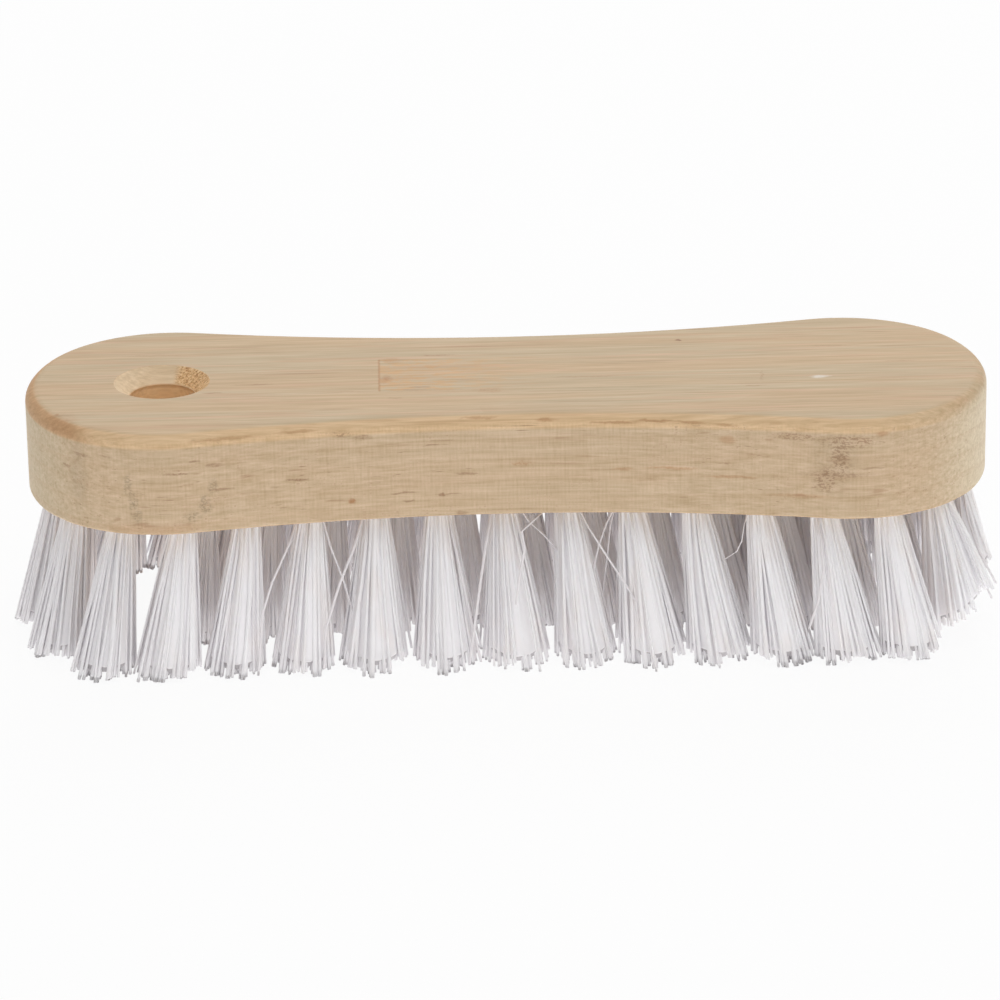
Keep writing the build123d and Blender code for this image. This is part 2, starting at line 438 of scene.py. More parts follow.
def grainOfBoards(tree, spot, settings):
    shiftX, shiftY = settings["otherBoard"]
    shift = addNode(tree, "ShaderNodeCombineXYZ", -1550, 560, {
        "X": times(tree, -1700, 700, spot["finger"], shiftX),
        "Y": times(tree, -1700, 640, spot["finger"], shiftY)})
    place = vectorMaths(tree, "ADD", -1550, 420, spot["place"], shift.outputs[0])
    return useGroup(tree, grainGroup, -1400, 300, {"Place": place})


def planedColour(tree, spot, grain, settings):
    # broad bands, paler sides, greyer end grain with painted light making it pale at the plain end,
    # rings and lines
    bands = window(tree, -1200, 500, grain["Broad"], 0.38, 0.62)
    colour = mixColour(tree, -1000, 400, bands, settings["grey"], settings["tan"])
    pink = window(tree, -1200, 300, grain["Hue"], 0.5, 0.68)
    colour = tinted(tree, -850, 400, colour, pink, settings["pinkLevel"], settings["pink"])
    colour = tinted(tree, -700, 400, colour, spot["upright"], settings["sideLevel"], settings["side"])
    ends = window(tree, -1200, -650, spot["endOn"], 0.45, 0.95)
    ends = times(tree, -850, -600, spot["upright"], ends)
    # painted light: the end grain turns paler towards the plain end
    paintedLightShare = window(tree, -1200, -780, spot["x"], *settings["paintedLightEndX"])
    endColour = mixColour(tree, -850, -700, paintedLightShare, settings["endGrain"], settings["paintedLightEnd"])
    colour = mixColour(tree, -550, 400, ends, colour, endColour)
    rings = window(tree, -1200, 50, grain["Ring"], 0.55, 1.0)
    colour = tinted(tree, -400, 400, colour, rings, settings["ringLevel"], settings["ringBrown"])
    return tinted(tree, -250, 400, colour, grain["Line"], settings["lineLevel"], settings["line"])


def addJoint(tree, spot, colour, settings):
    # blotched figure in the jointed middle, just past the joint, and the thin seam itself
    jointX = settings["jointX"]
    figure = stretched(tree, -1400, 900, spot["place"], (0.26, 0.7, 0.5), 4, 0.7, (3, 1, 8))
    nearJoint = window(tree, -1200, 1050, spot["x"], jointX + settings["jointReach"], jointX + 4)
    nearJoint = times(tree, -1000, 900, spot["finger"], nearJoint)
    blotches = times(tree, -850, 900, nearJoint, window(tree, -1200, 900, figure, 0.44, 0.6))
    colour = tinted(tree, -100, 400, colour, blotches, settings["blotchLevel"], settings["blotch"])
    fromSeam = maths(tree, "SUBTRACT", -1850, 1250, spot["x"], jointX)
    fromSeam = maths(tree, "ABSOLUTE", -1700, 1250, fromSeam)
    halfWidth = settings["seamHalfWidth"]
    seam = window(tree, -1500, 1250, fromSeam, halfWidth * 1.5, halfWidth * 0.5)
    seam = times(tree, -1350, 1250, seam, spot["middle"])
    seam = times(tree, -1200, 1250, seam, window(tree, -1500, 1400, spot["up"], 0.8, 0.95))
    return tinted(tree, -30, 600, colour, seam, settings["seamLevel"], settings["rust"])


def addRoundedEdge(tree, spot, colour, settings):
    # amber with fine stripes, browner at the hanging end
    top = blockHigh[2] / mm
    height = settings["edgeHeight"]
    edge = times(tree, -1000, -800,
                 window(tree, -1200, -750, spot["z"], top - height * 1.1, top - height * 0.8),
                 window(tree, -1200, -850, spot["up"], 0.999, 0.88))
    edge = times(tree, -930, -800, edge, window(tree, -1200, -700, spot["x"], *settings["amberEndX"]))
    stripe = stretched(tree, -1400, -1000, spot["place"], (0.035, 1.1, 2.2), 4, 0.6, (1, 6, 2))
    stripes = times(tree, -850, -950, edge, window(tree, -1200, -1000, stripe, 0.52, 0.7))
    warmEnd = window(tree, -1200, -950, spot["x"], *settings["warmEndX"])
    warmEnd = times(tree, -850, -1050, edge, warmEnd)
    colour = tinted(tree, 50, 400, colour, edge, settings["amberLevel"], settings["amber"])
    colour = tinted(tree, 200, 400, colour, stripes, settings["stripeLevel"], settings["rust"])
    return tinted(tree, 270, 500, colour, warmEnd, settings["warmEndLevel"], settings["rust"])


def addMarks(tree, spot, colour, settings):
    grit = stretched(tree, -2300, 1300, spot["place"], (1.5, 2.4, 2.6), 2, 0.6)
    grit = window(tree, -1900, 1300, grit, 0.47, 0.58)
    noise = addNode(tree, "ShaderNodeTexNoise", -2300, 1500, {
        "Vector": spot["place"], "Scale": 0.5, "Detail": 3.0})
    fray = vectorMaths(tree, "SUBTRACT", -2100, 1500, noise.outputs["Color"], (0.5, 0.5, 0.5))
    fray = vectorMaths(tree, "MULTIPLY", -1900, 1500, fray, (3.0, 1.0, 0.9))
    frayed = vectorMaths(tree, "ADD", -1700, 1500, spot["place"], fray)
    masks = {}
    for step, (kind, marks) in enumerate(markSet.items()):
        masks[kind] = markLevel(tree, -1400 + 450 * step, 3200, frayed, grit, marks)
        colour = mixColour(tree, 500 + 150 * step, 600, masks[kind], colour, settings[kind])
    return colour, masks["pore"]


def addHangingHole(tree, spot, colour, settings):
    # cut cone, torn end grain on the side away from the end, warm bore, brown lip between them
    centreX, centreY = hangingHole["pos_m"][0] / mm, hangingHole["pos_m"][1] / mm
    holeRadius = hangingHole["dims"]["r_mm"]
    sinkRadius = settings["sinkRadius"]
    sinkBottom = blockHigh[2] / mm - settings["sinkDepth"]
    fromHole = addNode(tree, "ShaderNodeCombineXYZ", -2000, -1300, {
        "X": maths(tree, "SUBTRACT", -2200, -1300, spot["x"], centreX),
        "Y": maths(tree, "SUBTRACT", -2200, -1400, spot["y"], centreY)})
    radius = vectorMaths(tree, "LENGTH", -1800, -1300, fromHole.outputs[0])
    way = vectorMaths(tree, "NORMALIZE", -1800, -1450, fromHole.outputs[0])
    tornSide = vectorMaths(tree, "DOT_PRODUCT", -1600, -1450, way, settings["tornWay"])
    inSink = times(tree, -1200, -1300,
                   window(tree, -1400, -1250, radius, sinkRadius + 0.05, sinkRadius - 0.15),
                   window(tree, -1400, -1350, spot["z"], sinkBottom - 0.3, sinkBottom + 0.1))
    inBore = window(tree, -1400, -1600, radius, holeRadius + 0.25, holeRadius + 0.05)
    torn = times(tree, -1000, -1450, inSink, window(tree, -1400, -1450, tornSide, 0.62, 0.8))
    tear = stretched(tree, -1400, -1800, spot["place"], (2.0, 2.8, 2.8), 3, 0.7)
    tearDark = times(tree, -900, -1750, torn, window(tree, -1150, -1750, tear, 0.47, 0.40))
    tearPale = times(tree, -900, -1850, torn, window(tree, -1150, -1850, tear, 0.54, 0.62))
    lip = times(tree, -900, -1600,
                window(tree, -1150, -1600, spot["z"], sinkBottom - 0.9, sinkBottom - 0.2),
                window(tree, -1150, -1680, spot["z"], sinkBottom + 0.3, sinkBottom))
    nearBore = window(tree, -1150, -1520, radius, holeRadius + 0.5, holeRadius + 0.3)
    lip = times(tree, -750, -1600, lip, nearBore)
    colour = mixColour(tree, 1250, 400, inSink, colour, settings["cut"])
    colour = mixColour(tree, 1400, 400, torn, colour, settings["torn"])
    colour = tinted(tree, 1550, 400, colour, tearDark, settings["tearLevel"], settings["tornDark"])
    colour = tinted(tree, 1700, 400, colour, tearPale, settings["tearLevel"], settings["tornPale"])
    colour = mixColour(tree, 1850, 400, inBore, colour, settings["bore"])
    colour = tinted(tree, 2000, 400, colour, lip, settings["lipLevel"], settings["rust"])
    cutAway = maths(tree, "MAXIMUM", -700, -2400, inSink, inBore)
    return colour, cutAway, times(tree, 600, -650, torn, tear)


def addSawMarks(tree, spot, grain, cutAway, colour, settings):
    # lighter and darker: fine grain everywhere, upright saw marks crossed by it on the sides
    outside = maths(tree, "SUBTRACT", -550, -2400, 1.0, cutAway)
    sawn = times(tree, -400, -2400, spot["upright"], outside)
    wave = times(tree, -1150, -2100, spot["x"], math.tau / settings["sawPitch"])
    wave = maths(tree, "SINE", -1000, -2100, wave)
    wave = times(tree, -850, -2100, wave, window(tree, -1150, -2000, spot["endOn"], 0.7, 0.3))
    sawNoise = stretched(tree, -1400, -2250, spot["place"], (1.9, 1.9, 0.28), 3, 0.65)
    crossNoise = stretched(tree, -1400, -2450, spot["place"], (0.3, 0.3, 2.6), 3, 0.65, (4, 4, 0))
    saw = maths(tree, "SUBTRACT", -850, -2250, sawNoise, 0.5)
    saw = maths(tree, "MULTIPLY_ADD", -700, -2150, wave, settings["waveLevel"], saw)
    cross = maths(tree, "SUBTRACT", -850, -2450, crossNoise, 0.5)
    saw = maths(tree, "MULTIPLY_ADD", -550, -2250, cross, settings["crossLevel"], saw)
    saw = times(tree, -400, -2250, saw, sawn)
    level = maths(tree, "SUBTRACT", -700, 150, grain["Fine"], 0.5)
    level = maths(tree, "MULTIPLY_ADD", -100, -2100, level, settings["fineLevel"], 1.0)
    level = maths(tree, "MULTIPLY_ADD", 100, -2100, saw, settings["sawLevel"], level)
    colour = shade(tree, 2150, 400, colour, level)
    # brown dots where the saw marks cross the grain, in drifts
    drift = stretched(tree, -1400, -2650, spot["place"], (0.06, 0.1, 0.14), 3, 0.6, (9, 2, 5))
    dots = times(tree, -850, -2650, window(tree, -1150, -2550, sawNoise, 0.5, 0.66),
                 window(tree, -1150, -2650, crossNoise, 0.46, 0.64))
    dots = times(tree, -700, -2650, dots, window(tree, -1150, -2750, drift, 0.36, 0.62))
    dots = times(tree, -550, -2650, dots, sawn)
    return tinted(tree, 2300, 600, colour, dots, settings["dotLevel"], settings["line"]), saw


def makeWood(settings):
    material, tree, shader, place = newMaterial("bareWood")
    spot = lookAround(tree, place, settings)
    grain = grainOfBoards(tree, spot, settings)
    colour = planedColour(tree, spot, grain, settings)
    colour = addJoint(tree, spot, colour, settings)
    colour = addRoundedEdge(tree, spot, colour, settings)
    poreLevel = maths(tree, "MULTIPLY_ADD", -850, -200,
                      spot["upright"], settings["poreSideLevel"], settings["poreTopLevel"])
    colour = tinted(tree, 350, 400, colour, grain["Pore"], poreLevel, settings["pore"])
    colour, openPores = addMarks(tree, spot, colour, settings)
    colour, cutAway, tear = addHangingHole(tree, spot, colour, settings)
    colour, saw = addSawMarks(tree, spot, grain, cutAway, colour, settings)
    tree.links.new(colour, shader.inputs["Base Color"])

    rough = maths(tree, "MULTIPLY_ADD", 600, -200, grain["Fine"], 0.2, settings["roughness"] - 0.1)
    tree.links.new(rough, shader.inputs["Roughness"])
    heights = {
        "fine": grain["Fine"], "saw": saw, "pore": grain["Pore"], "mark": openPores, "torn": tear}
    relief = 0.0
    for step, (part, height) in enumerate(heights.items()):
        relief = maths(tree, "MULTIPLY_ADD", 150 * step, -500, height, settings["relief"][part], relief)
    bump = addNode(tree, "ShaderNodeBump", 950, -400, {
        "Height": relief, "Strength": 0.4, "Distance": 0.2 * mm})
    tree.links.new(bump.outputs[0], shader.inputs["Normal"])
    shader.location = (2600, 0)
    tree.nodes["Material Output"].location = (2900, 0)
    shader.inputs["Specular IOR Level"].default_value = 0.3
    return material


# white plastic bristle: milky, each strand its own tone, rubbed along its length
bristleSet = {
    "light": paint(247, 246, 248),
    "dull": paint(243, 241, 243),
    "warm": paint(245, 240, 239),
    "shaded": paint(228, 226, 228),  # towards the hanging end and at the tips
    "stray": paint(232, 228, 230),  # single strands that stand out
    "heartEndShade": paint(176, 172, 174),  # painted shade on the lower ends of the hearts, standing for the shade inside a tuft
    "shadedEnd": (-50.0, -92.0),
    "shadedTips": (7.0, 0.0),
    "strayTone": -1.0,
    "heartEndShadeTones": (-1.1, -1.9),
    "cloudShare": 0.5,
    "toneShare": 0.6,
    "blushLevel": 0.6,
    "shadedLevel": 0.65,
    "roughness": 0.42,
}


def makeBristle(settings):
    material, tree, shader, place = newMaterial("bristlePlastic")
    tone = addNode(tree, "ShaderNodeAttribute", -1400, 200, attribute_name="tone").outputs["Fac"]
    cloud = stretched(tree, -1400, -100, place, (0.7, 0.7, 0.08), 2, 0.5)
    blush = stretched(tree, -1400, -300, place, (0.25, 0.25, 0.05), 2, 0.5, (4, 4, 4))
    mixed = times(tree, -1200, 200, tone, settings["toneShare"])
    mixed = maths(tree, "MULTIPLY_ADD", -1000, 100, cloud, settings["cloudShare"], mixed)
    mixed = window(tree, -850, 100, mixed, 0.2, 0.85)
    colour = mixColour(tree, -700, 200, mixed, settings["dull"], settings["light"])
    blush = window(tree, -1000, -300, blush, 0.5, 0.7)
    colour = tinted(tree, -550, 200, colour, blush, settings["blushLevel"], settings["warm"])
    split = addNode(tree, "ShaderNodeSeparateXYZ", -1000, 600, {"Vector": place}).outputs
    shaded = maths(tree, "MAXIMUM", -850, 700,
                   window(tree, -1000, 800, split["X"], *settings["shadedEnd"]),
                   window(tree, -1000, 700, split["Z"], *settings["shadedTips"]))
    colour = tinted(tree, -475, 300, colour, shaded, settings["shadedLevel"], settings["shaded"])
    alone = maths(tree, "LESS_THAN", -700, 400, tone, settings["strayTone"] / 2)
    colour = mixColour(tree, -400, 200, alone, colour, settings["stray"])
    # painted shade: the ends of the hearts drawn dark
    heartEndShade = window(tree, -500, 500, tone, *settings["heartEndShadeTones"])
    colour = mixColour(tree, -250, 200, heartEndShade, colour, settings["heartEndShade"])
    tree.links.new(colour, shader.inputs["Base Color"])
    rough = maths(tree, "MULTIPLY_ADD", -700, -100, cloud, 0.15, settings["roughness"] - 0.07)
    tree.links.new(rough, shader.inputs["Roughness"])
    scratch = stretched(tree, -1400, -500, place, (6.0, 6.0, 0.3), 2, 0.5)
    bump = addNode(tree, "ShaderNodeBump", -500, -400, {
        "Height": scratch, "Strength": 0.2, "Distance": 0.05 * mm})
    tree.links.new(bump.outputs[0], shader.inputs["Normal"])
    return material


# flat drawn wire of the staples
wireSet = {
    "dark": paint(150, 150, 152),
    "light": paint(190, 190, 190),
    "roughness": 0.3,
}


def makeWire(settings):
    material, tree, shader, place = newMaterial("stapleSteel")
    drawn = stretched(tree, -1400, 0, place, (0.4, 6.0, 6.0), 3, 0.6)
    colour = mixColour(tree, -900, 100, drawn, settings["dark"], settings["light"])
    rough = maths(tree, "MULTIPLY_ADD", -900, -100, drawn, 0.2, settings["roughness"])
    tree.links.new(colour, shader.inputs["Base Color"])
    tree.links.new(rough, shader.inputs["Roughness"])
    shader.inputs["Metallic"].default_value = 1.0
    return material


woodMaterial = makeWood(woodSet)
bristleMaterial = makeBristle(bristleSet)
wireMaterial = makeWire(wireSet)
print("materials made")


def dress(name, material):
    node = nodes[name]
    node.data.materials.clear()
    node.data.materials.append(material)


dress("block", woodMaterial)
dress("staples", wireMaterial)
print("block and staples dressed")


# bristle strands: a few shapes are modelled once, one unit long along +Z, and copied
strandSet = {
    "sides": 6,
    "cuts": 3,
    "bows": ((0.0, 0.0, 0.0), (0.4, 0.6, 0.4), (0.8, 1.1, 0.8), (-0.4, 0.1, 0.5), (1.2, 1.1, 0.4)),
    "radius": 0.26 * mm,
    "ribbons": 0.65,  # share of the strands that are ribbons
    "narrowest": 1.3,
    "widest": 2.3,
    "turnNoise": 0.15,
}
smoothAngle = math.radians(60)


def selectRing(mesh, height):
    # selects the ring of vertices at one height of the mesh in edit mode
    edit = bmesh.from_edit_mesh(mesh)
    for vertex in edit.verts:
        vertex.select = abs(vertex.co.z - height) < 0.01
    edit.select_flush_mode()
    bmesh.update_edit_mesh(mesh)


def modelStrand(number, bow, settings):
    bpy.ops.object.select_all(action="DESELECT")
    sides = settings["sides"]
    bpy.ops.mesh.primitive_cylinder_add(vertices=sides, radius=1, depth=1, location=(0, 0, 0.5))
    strand = bpy.context.object
    strand.name = f"strandShape{number}"
    bpy.ops.object.transform_apply(location=True, rotation=False, scale=False)
    bpy.ops.object.mode_set(mode="EDIT")
    bpy.ops.mesh.select_mode(type="EDGE")
    edit = bmesh.from_edit_mesh(strand.data)
    for edge in edit.edges:
        edge.select = abs(edge.verts[0].co.z - edge.verts[1].co.z) > 0.5
    bmesh.update_edit_mesh(strand.data)
    bpy.ops.mesh.subdivide(number_cuts=settings["cuts"])
    bpy.ops.mesh.select_mode(type="VERT")
    for ring, offset in enumerate(bow):
        selectRing(strand.data, (ring + 1) / (settings["cuts"] + 1))
        bpy.ops.transform.translate(value=(offset, 0, 0))
    bpy.ops.object.mode_set(mode="OBJECT")
    bpy.ops.object.shade_smooth_by_angle(angle=smoothAngle)
    strand.data.attributes.new("tone", "FLOAT", "POINT")
    return strand


strandShapes = [modelStrand(i, bow, strandSet) for i, bow in enumerate(strandSet["bows"])]
print("strand shapes modelled")


def strandMatrix(root, tip, halfWidth, halfThickness, turn):
    # carries the unit strand onto root and tip, with level ends
    side = Vector((math.cos(turn), math.sin(turn), 0)) * halfWidth
    across = Vector((math.sin(turn), -math.cos(turn), 0)) * halfThickness
    way = tip - root
    return Matrix((
        (side.x, across.x, way.x, root.x),
        (side.y, across.y, way.y, root.y),
        (side.z, across.z, way.z, root.z),
        (0, 0, 0, 1),
    ))


def finishStrand(mesh, tones):
    mesh.attributes["tone"].data.foreach_set("value", tones)
    strand = bpy.data.objects.new("strand", mesh)
    bpy.context.collection.objects.link(strand)
    return strand


def copyStrand(root, tip, angle, tone, settings, draw):
    # many strands stick side by side and read as one flat ribbon, its face outwards
    width = 1
    if draw.random() < settings["ribbons"]:
        width = draw.uniform(settings["narrowest"], settings["widest"])
    turn = angle + math.pi * draw.choice((0.5, 1.5)) + draw.gauss(0, settings["turnNoise"])
    mesh = draw.choice(strandShapes).data.copy()
    mesh.transform(strandMatrix(root, tip, settings["radius"] * width, settings["radius"], turn))
    return finishStrand(mesh, [tone] * len(mesh.vertices))


def bendStrand(way, radius, tone):
    # the straight strand with its rings carried onto the five places of a way
    mesh = strandShapes[0].data.copy()
    last = len(way) - 1
    for vertex in mesh.vertices:
        middle = way[round(vertex.co.z * last)]
        vertex.co = Vector((vertex.co.x, vertex.co.y, 0)) * radius + middle
    mesh.flip_normals()
    return finishStrand(mesh, [tone] * len(mesh.vertices))


# the heart of a tuft: a fluted column, one unit long along +Z and of radius 1
heartSet = {
    "flutes": 25,
    "pinch": 0.92,
    "length": 0.9,
    "taper": 0.05,
    "point": 0.85,
    "fill": 0.92,
    "tone": 0.5,
    # tone of the heart ends, which picks their painted shade
    "heartShadeTone": -12.0,
}


def modelHeart(settings):
    bpy.ops.object.select_all(action="DESELECT")
    edges = 2 * settings["flutes"]
    bpy.ops.mesh.primitive_cylinder_add(vertices=edges, radius=1, depth=1, location=(0, 0, 0.5))
    heart = bpy.context.object
    heart.name = "heartShape"
    bpy.ops.object.transform_apply(location=True, rotation=False, scale=False)
    bpy.ops.object.mode_set(mode="EDIT")
    bpy.ops.mesh.select_mode(type="FACE")
    bpy.ops.mesh.select_all(action="DESELECT")
    edit = bmesh.from_edit_mesh(heart.data)
    for face in edit.faces:
        face.select = face.normal.z > 0.9
    bmesh.update_edit_mesh(heart.data)
    bpy.ops.mesh.extrude_region_move(TRANSFORM_OT_translate={"value": (0, 0, settings["taper"])})
    bpy.ops.transform.resize(value=(settings["point"], settings["point"], 1), center_override=(0, 0, 0))
    bpy.ops.mesh.select_mode(type="VERT")
    bpy.ops.mesh.select_all(action="DESELECT")
    edit = bmesh.from_edit_mesh(heart.data)
    for vertex in edit.verts:
        step = math.atan2(vertex.co.y, vertex.co.x) * settings["flutes"] / math.pi
        vertex.select = round(step) % 2 == 1
    bmesh.update_edit_mesh(heart.data)
    bpy.ops.transform.resize(value=(settings["pinch"], settings["pinch"], 1), center_override=(0, 0, 0))
    bpy.ops.object.mode_set(mode="OBJECT")
    bpy.ops.object.shade_smooth_by_angle(angle=smoothAngle)
    heart.data.attributes.new("tone", "FLOAT", "POINT")
    return heart


heartShape = modelHeart(heartSet)


def placeHeart(start, tip, splay, rootRadius, tipRadius, settings):
    # the column flared from root to tip, splayed and cut as the strands are
    mesh = heartShape.data.copy()
    tones = []
    for vertex in mesh.vertices:
        tones.append(settings["heartShadeTone"] if vertex.co.z > 1.01 else settings["tone"])
        share = vertex.co.z * settings["length"]
        radius = (rootRadius + (tipRadius - rootRadius) * share) * settings["fill"]
        flat = Vector((vertex.co.x, vertex.co.y, 0))
        aside = splay * share * max(flat.dot(splay.normalized()), 0)
        vertex.co = start.lerp(tip, share) + flat * radius + aside
        vertex.co.x = min(vertex.co.x, tuftSet["endLimit"])
        vertex.co.z += max(vertex.co.x - tuftSet["slantFrom"], 0) * tuftSet["slant"] * share
    mesh.flip_normals()
    return finishStrand(mesh, tones)


# a tuft: strands crowd to its outside, stick together in clumps, spread wide and end unevenly
tuftSet = {
    "seed": 100,
    "strands": 96,
    "turnStep": 2.39996,  # golden angle from strand to strand
    "rootRadius": 2.15 * mm,
    "tipRadius": 6.0 * mm,
    "innerTipRadius": 4.9 * mm,
    "tipSpread": 0.8 * mm,
    "inHole": 1.5 * mm,
    "crowding": 0.3,
    "turnNoise": 0.03,
    "reachNoise": 0.02,
    "clumps": 11,
    "clumpShift": 0.3,
    "clumpPull": 0.4,
    "clumpPulls": (0.4, 1.3),
    "clumpShort": 2.2 * mm,
    "clumpShorts": (0.7, 1.1),
    "clumpTone": 0.25,
    "strandTone": 0.3,
    "ragged": 0.22 * mm,
    "stray": 0.04,
    "strayReach": 2.6 * mm,
    "brushHalfWidth": 33.6 * mm,
    "splay": 0.8,
    "fullLean": 4.2 * mm,
    "limit": 33.7 * mm,  # no strand ends further aside, or further out at the plain end
    "endLimit": 95.5 * mm,
    "slantFrom": 82.0 * mm,  # past it the tips are cut on a slant, ever higher
    "slant": 0.7,
}

# single strands that stand out, by tuft, with five places in mm from the block to the tip
straySet = (
    {"tuft": "tuft_outer_22", "radius": 0.26,
     "way": ((-41.0, -20.5, 31.0), (-43.2, -26.0, 26.0), (-46.8, -29.0, 19.0), (-48.8, -30.2, 13.0),
             (-50.0, -31.0, 0.3))},
    {"tuft": "tuft_outer_22", "radius": 0.24,
     "way": ((-37.2, -20.4, 31.0), (-35.4, -22.6, 24.0), (-33.0, -23.6, 17.0), (-31.2, -24.0, 10.0),
             (-29.6, -24.4, 3.5))},
    {"tuft": "tuft_outer_23", "radius": 0.3,
     "way": ((-28.2, -19.0, 31.0), (-30.6, -24.6, 24.5), (-33.6, -27.4, 18.0), (-36.6, -29.0, 9.0),
             (-37.2, -30.0, 1.0))},
    {"tuft": "tuft_outer_25", "radius": 0.3,
     "way": ((-3.2, -18.0, 31.0), (-4.9, -23.0, 24.0), (-6.3, -26.6, 16.5), (-7.6, -28.4, 8.0),
             (-8.7, -29.2, 0.8))},
    {"tuft": "tuft_outer_24", "radius": 0.3,
     "way": ((-12.6, -18.0, 31.0), (-11.2, -22.0, 24.0), (-9.5, -24.6, 16.0), (-8.0, -26.2, 8.0),
             (-6.4, -27.2, 0.5))},
    {"tuft": "tuft_outer_26", "radius": 0.26,
     "way": ((9.2, -18.6, 31.0), (2.0, -26.2, 27.4), (2.5, -27.2, 24.0), (1.4, -28.0, 18.5),
             (0.6, -28.6, 13.0))},
    {"tuft": "tuft_outer_26", "radius": 0.24,
     "way": ((12.6, -18.4, 31.0), (15.2, -22.0, 26.2), (18.2, -24.6, 21.8), (22.2, -26.0, 15.6),
             (25.4, -26.8, 10.0))},
    {"tuft": "tuft_outer_27", "radius": 0.22,
     "way": ((21.4, -18.4, 31.0), (18.9, -20.0, 26.4), (17.2, -21.0, 22.0), (15.6, -22.0, 15.0),
             (14.6, -22.4, 8.0))},
    {"tuft": "tuft_outer_27", "radius": 0.22,
     "way": ((21.2, -17.4, 31.0), (19.6, -18.4, 25.0), (19.0, -19.0, 19.5), (18.0, -19.6, 12.0),
             (17.4, -20.0, 5.0))},
    {"tuft": "tuft_outer_25", "radius": 0.24,
     "way": ((0.6, -18.2, 31.0), (3.6, -19.6, 26.8), (6.4, -20.2, 24.2), (10.2, -20.6, 19.6),
             (13.6, -21.0, 14.0))},
    {"tuft": "tuft_outer_33", "radius": 0.28,
     "way": ((89.4, -6.4, 31.0), (91.0, -9.6, 21.0), (92.8, -11.4, 15.6), (94.6, -12.4, 12.0),
             (96.4, -13.0, 8.6))},
    {"tuft": "tuft_outer_33", "radius": 0.26,
     "way": ((88.8, -6.8, 31.0), (89.8, -11.0, 19.8), (91.4, -13.0, 14.6), (93.4, -14.2, 10.4),
             (95.4, -15.0, 6.2))},
    {"tuft": "tuft_outer_29", "radius": 0.13,
     "way": ((47.0, -22.6, 31.0), (45.4, -25.6, 27.6), (44.8, -27.0, 24.6), (43.8, -27.8, 22.8),
             (41.6, -28.0, 21.4))},
    {"tuft": "tuft_outer_30", "radius": 0.26,
     "way": ((58.8, -24.4, 31.0), (60.2, -28.0, 25.4), (60.6, -30.0, 19.4), (59.4, -31.6, 13.4),
             (57.6, -32.8, 8.2))},
)


# how the axes of the tufts are read from the bundles of the CAD nodes
bundleSet = {
    "topSlice": 1.2 * mm,
    "mouthSlice": 1.6 * mm,
    "apart": 4 * mm,
    "aside": 6 * mm,
    "tipsAside": 14 * mm,
}


def tuftAxes(node, settings):
    # root and tip points of each tuft of a node
    points = [v.co.copy() for v in node.data.vertices]
    highest = max(p.z for p in points)
    tops = sorted((p for p in points if p.z > highest - settings["topSlice"]), key=lambda p: p.x)
    groups = [[tops[0]]]
    for point in tops[1:]:
        if point.x - groups[-1][-1].x > settings["apart"]:
            groups.append([])
        groups[-1].append(point)
    axes = []
    for group in groups:
        upper = sum(group, Vector()) / len(group)
        near = [p for p in points if abs(p.z - blockLow[2]) < settings["mouthSlice"]
                and math.hypot(p.x - upper.x, p.y - upper.y) < settings["aside"]]
        lower = Vector([(min(p[i] for p in near) + max(p[i] for p in near)) / 2 for i in range(3)])
        slope = (lower - upper) / (upper.z - lower.z)
        root = upper + slope * (upper.z - blockLow[2])
        lowest = min(p.z for p in points
                     if math.hypot(p.x - root.x, p.y - root.y) < settings["tipsAside"])
        axes.append((root, upper + slope * (upper.z - lowest)))
    return axes


def findSplay(root, tip, settings):
    # outer tufts of the waist splay sideways, nearly out to the line of the widest ones
    room = max(settings["brushHalfWidth"] - settings["tipRadius"] - abs(tip.y), 0)
    share = min(abs(tip.y - root.y) / settings["fullLean"], 1)
    return Vector((0, math.copysign(room * share ** 4 * settings["splay"], root.y), 0))


def makeClumps(settings, draw):
    # angles of the clumps round the tuft, with how far each stops short and its tone
    shift, tone = settings["clumpShift"], settings["clumpTone"]
    clumps = []
    for index in range(settings["clumps"]):
        clumps.append({
            "angle": (index + draw.uniform(-shift, shift)) * math.tau / settings["clumps"],
            "short": settings["clumpShort"] * draw.random() ** 4,
            "tone": draw.uniform(-tone, tone),
        })
    return clumps


def growTuft(root, tip, tipRadius, splay, settings, draw):
    # strands from a tight bundle in the hole to a wide, uneven brush of tips
    slope = (tip - root) / (root.z - tip.z)
    start = root - slope * settings["inHole"]
    clumps = makeClumps(settings, draw)
    tipRadius += settings["tipSpread"] * draw.random()
    strands = [placeHeart(start, tip, splay, settings["rootRadius"], tipRadius, heartSet)]
    for index in range(settings["strands"]):
        reach = ((index + 0.5) / settings["strands"]) ** settings["crowding"]
        angle = index * settings["turnStep"] % math.tau
        disc = Vector((math.cos(angle), math.sin(angle), 0)) * reach
        clump = min(clumps, key=lambda c: abs(math.remainder(c["angle"] - angle, math.tau)))
        pull = settings["clumpPull"] * draw.uniform(*settings["clumpPulls"]) * reach
        toClump = math.remainder(clump["angle"] - angle, math.tau)
        angle += toClump * pull + draw.gauss(0, settings["turnNoise"])
        tipReach = reach + draw.gauss(0, settings["reachNoise"])
        spread = Vector((math.cos(angle), math.sin(angle), 0)) * tipReach
        end = tip + spread * tipRadius + splay * max(spread.dot(splay.normalized()), 0)
        if draw.random() < settings["stray"]:
            end += spread.normalized() * settings["strayReach"] * draw.random()
        end.x = min(end.x, settings["endLimit"])
        end.y = min(max(end.y, -settings["limit"]), settings["limit"])
        end.z += clump["short"] * draw.uniform(*settings["clumpShorts"])
        end.z += abs(draw.gauss(0, settings["ragged"]))
        end.z += max(end.x - settings["slantFrom"], 0) * settings["slant"]
        tone = 0.5 + clump["tone"] + draw.uniform(-settings["strandTone"], settings["strandTone"])
        tone = min(max(tone, 0), 1)
        foot = start + disc * settings["rootRadius"]
        strands.append(copyStrand(foot, end, angle, tone, strandSet, draw))
    return strands


